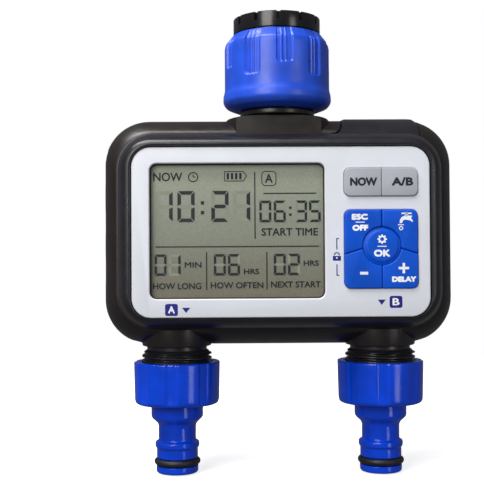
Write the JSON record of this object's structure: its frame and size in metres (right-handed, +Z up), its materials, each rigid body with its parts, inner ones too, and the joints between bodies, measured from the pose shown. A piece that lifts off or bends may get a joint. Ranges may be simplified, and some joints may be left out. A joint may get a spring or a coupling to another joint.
{
  "type": "drip irrigation timer",
  "caption": "Battery hose-tap timer with a swivel inlet collar, an LCD and keys on a white fascia, and motor ball valves feeding quick-connect outlets below.",
  "frame": {"origin": "centre of the inlet's open top rim, on the inlet's vertical axis, where the tap's spout enters", "axes": "+Z up along the inlet's axis, the display faces -Y, +X to the right of a person reading the display"},
  "size_m": [0.1316, 0.0533, 0.1715],
  "materials": {
    "black_plastic": "satin",
    "black_gloss": "gloss",
    "grip_rubber": "soft touch",
    "white_plastic": "satin",
    "blue_gloss": "gloss",
    "blue_satin": "satin",
    "blue_key": "satin",
    "grey_key": "satin",
    "clear_lens": "clear",
    "display": "gloss",
    "seal_rubber": "moulded",
    "board": "solder mask",
    "cell_sleeve": "shrink sleeve",
    "steel": "plated",
    "brass": "bright",
    "natural_plastic": "unpigmented"
  },
  "bodies": {
    "housing": {"front_shell": "black_plastic", "rear_shell": "black_plastic", "grip_left": "grip_rubber", "grip_right": "grip_rubber", "housing_gasket": "seal_rubber", "fascia_panel": "white_plastic", "display_lens": "clear_lens", "lcd_module": "display", "keypad_membrane": "seal_rubber", "circuit_board": "board", "housing_screw_1": "steel", "housing_screw_2": "steel", "housing_screw_3": "steel", "housing_screw_4": "steel", "inlet_manifold": "black_plastic", "inlet_neck": "black_plastic", "swivel_seal": "seal_rubber", "motor_cradle": "natural_plastic", "valve_body_a": "black_plastic", "valve_body_b": "black_plastic", "valve_seat_upper_a": "natural_plastic", "valve_seat_lower_a": "natural_plastic", "valve_seat_upper_b": "natural_plastic", "valve_seat_lower_b": "natural_plastic", "motor_a": "steel", "motor_b": "steel"},
    "key_now": {"key_now": "grey_key"},
    "key_a_b": {"key_a_b": "grey_key"},
    "key_esc_off": {"key_esc_off": "blue_key"},
    "key_manual": {"key_manual": "blue_key"},
    "key_minus": {"key_minus": "blue_key"},
    "key_plus": {"key_plus": "blue_key"},
    "key_ok": {"key_ok": "blue_key"},
    "battery_drawer": {"battery_cover": "black_plastic", "battery_tray": "black_plastic", "battery_seal": "seal_rubber", "battery_1": "cell_sleeve", "battery_2": "cell_sleeve", "contact_plus": "brass", "contact_minus": "brass", "contact_bridge": "brass"},
    "inlet_collar": {"inlet_collar": "blue_satin"},
    "inlet_filter": {"inlet_filter": "natural_plastic"},
    "inlet_reducer": {"inlet_reducer": "black_gloss", "tap_washer": "seal_rubber"},
    "valve_drive_a": {"valve_ball_a": "natural_plastic", "valve_stem_a": "steel", "drive_wheel_a": "natural_plastic"},
    "motor_pinion_a": {"motor_pinion_a": "brass"},
    "outlet_washer_a": {"outlet_washer_a": "seal_rubber"},
    "outlet_connector_a": {"outlet_connector_a": "blue_gloss", "connector_o_ring_a": "seal_rubber"},
    "valve_drive_b": {"valve_ball_b": "natural_plastic", "valve_stem_b": "steel", "drive_wheel_b": "natural_plastic"},
    "motor_pinion_b": {"motor_pinion_b": "brass"},
    "outlet_washer_b": {"outlet_washer_b": "seal_rubber"},
    "outlet_connector_b": {"outlet_connector_b": "blue_gloss", "connector_o_ring_b": "seal_rubber"}
  },
  "joints": [
    {"name": "key_now_press", "type": "slide", "parent": "housing", "child": "key_now", "axis": [0, 1, 0], "range_m": [0, 0.0008], "stiffness_N_per_m": 1000},
    {"name": "key_a_b_press", "type": "slide", "parent": "housing", "child": "key_a_b", "axis": [0, 1, 0], "range_m": [0, 0.0008], "stiffness_N_per_m": 1000},
    {"name": "key_esc_off_press", "type": "slide", "parent": "housing", "child": "key_esc_off", "axis": [0, 1, 0], "range_m": [0, 0.0008], "stiffness_N_per_m": 1000},
    {"name": "key_manual_press", "type": "slide", "parent": "housing", "child": "key_manual", "axis": [0, 1, 0], "range_m": [0, 0.0008], "stiffness_N_per_m": 1000},
    {"name": "key_minus_press", "type": "slide", "parent": "housing", "child": "key_minus", "axis": [0, 1, 0], "range_m": [0, 0.0008], "stiffness_N_per_m": 1000},
    {"name": "key_plus_press", "type": "slide", "parent": "housing", "child": "key_plus", "axis": [0, 1, 0], "range_m": [0, 0.0008], "stiffness_N_per_m": 1000},
    {"name": "key_ok_press", "type": "slide", "parent": "housing", "child": "key_ok", "axis": [0, 1, 0], "range_m": [0, 0.0008], "stiffness_N_per_m": 1000},
    {"name": "battery_drawer_slide", "type": "slide", "parent": "housing", "child": "battery_drawer", "axis": [0, 1, 0], "range_m": [0, 0.022]},
    {"name": "collar_spin", "type": "hinge", "parent": "housing", "child": "inlet_collar", "pos_m": [0, 0, -0.02], "axis": [0, 0, 1], "continuous": true},
    {"name": "reducer_lift", "type": "slide", "parent": "inlet_collar", "child": "inlet_filter", "axis": [0, 0, 1], "range_m": [0, 0.0095]},
    {"name": "reducer_unscrew", "type": "hinge", "parent": "inlet_filter", "child": "inlet_reducer", "pos_m": [0, 0, -0.01], "axis": [0, 0, 1], "range_deg": [0, 1440]},
    {"name": "valve_a_turn", "type": "hinge", "parent": "housing", "child": "valve_drive_a", "pos_m": [-0.0386, 0, -0.085], "axis": [1, 0, 0], "range_deg": [0, 90]},
    {"name": "motor_a_spin", "type": "hinge", "parent": "housing", "child": "motor_pinion_a", "pos_m": [-0.0233, 0, -0.0958], "axis": [1, 0, 0], "range_deg": [-181, 1]},
    {"name": "outlet_a_lower", "type": "slide", "parent": "housing", "child": "outlet_washer_a", "axis": [0, 0, -1], "range_m": [0, 0.0095]},
    {"name": "outlet_a_unscrew", "type": "hinge", "parent": "outlet_washer_a", "child": "outlet_connector_a", "pos_m": [-0.0386, 0, -0.14], "axis": [0, 0, -1], "range_deg": [0, 1800]},
    {"name": "valve_b_turn", "type": "hinge", "parent": "housing", "child": "valve_drive_b", "pos_m": [0.0386, 0, -0.085], "axis": [1, 0, 0], "range_deg": [0, 90]},
    {"name": "motor_b_spin", "type": "hinge", "parent": "housing", "child": "motor_pinion_b", "pos_m": [0.0233, 0, -0.0958], "axis": [1, 0, 0], "range_deg": [-181, 1]},
    {"name": "outlet_b_lower", "type": "slide", "parent": "housing", "child": "outlet_washer_b", "axis": [0, 0, -1], "range_m": [0, 0.0095]},
    {"name": "outlet_b_unscrew", "type": "hinge", "parent": "outlet_washer_b", "child": "outlet_connector_b", "pos_m": [0.0386, 0, -0.14], "axis": [0, 0, -1], "range_deg": [0, 1800]}
  ],
  "couplings": [
    {"joint": "reducer_lift", "follows": "reducer_unscrew", "m_per_rad": 0.0003675},
    {"joint": "motor_a_spin", "follows": "valve_a_turn", "ratio": -2},
    {"joint": "outlet_a_lower", "follows": "outlet_a_unscrew", "m_per_rad": 0.0002887},
    {"joint": "motor_b_spin", "follows": "valve_b_turn", "ratio": -2},
    {"joint": "outlet_b_lower", "follows": "outlet_b_unscrew", "m_per_rad": 0.0002887}
  ]
}
